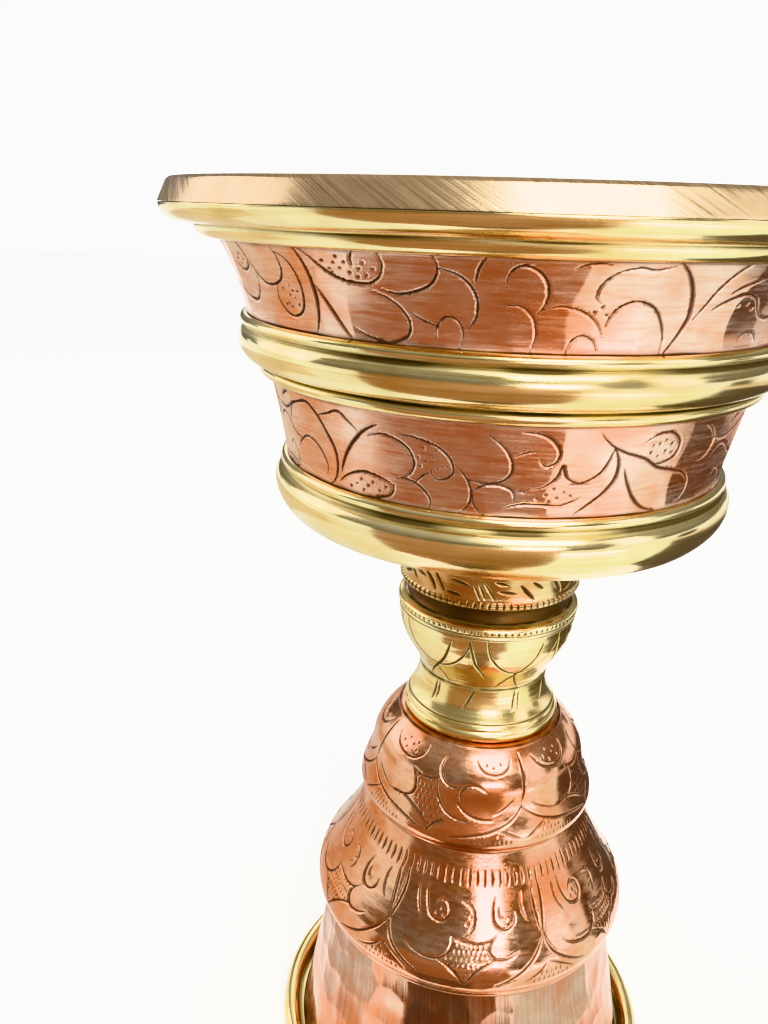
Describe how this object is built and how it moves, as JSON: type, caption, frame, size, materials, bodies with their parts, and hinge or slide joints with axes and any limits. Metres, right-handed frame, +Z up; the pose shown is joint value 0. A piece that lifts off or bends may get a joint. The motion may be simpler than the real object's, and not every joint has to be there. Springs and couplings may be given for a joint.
{
  "type": "butter lamp",
  "caption": "Footed butter lamp: an open copper bowl with brass mouldings, screwed onto a turned neck, two bulbs and a flared foot.",
  "frame": {"origin": "centre of the foot's underside, on the table", "axes": "+Z up along the lamp's own axis, from the foot to the open bowl"},
  "size_m": [0.132, 0.132, 0.2046],
  "materials": {
    "engraved_copper": "polished, engraved, lightly hammered",
    "plain_copper": "brushed, lightly hammered",
    "brass": "polished, turned",
    "engraved_brass": "polished, engraved",
    "dark_brass": "dark patina",
    "steel": "turned, threaded"
  },
  "bodies": {
    "stem": {"tie_rod": "steel", "cup_nut": "steel", "knop_cup": "engraved_brass", "neck_skirt": "engraved_brass", "upper_bulb": "engraved_copper", "lower_bulb": "engraved_copper", "foot_shell": "plain_copper", "foot_ring": "brass", "base_plate": "plain_copper", "base_washer": "steel", "base_nut": "steel"},
    "seat": {"seat_ring": "dark_brass"},
    "bowl": {"bowl_liner": "plain_copper", "rim_ring": "brass", "upper_band": "engraved_copper", "mid_ring": "brass", "lower_band": "engraved_copper", "lower_ring": "brass", "underside_plate": "plain_copper", "bowl_boss": "brass", "wick_socket": "brass", "neck_collar": "engraved_brass"}
  },
  "joints": [
    {"name": "bowl_lift", "type": "slide", "parent": "stem", "child": "seat", "axis": [0, 0, 1], "range_m": [0, 0.012]},
    {"name": "bowl_turn", "type": "hinge", "parent": "seat", "child": "bowl", "pos_m": [0, 0, 0.12425], "axis": [0, 0, 1], "range_deg": [0, 2880]}
  ],
  "couplings": [
    {"joint": "bowl_lift", "follows": "bowl_turn", "m_per_rad": 0.0002387}
  ]
}
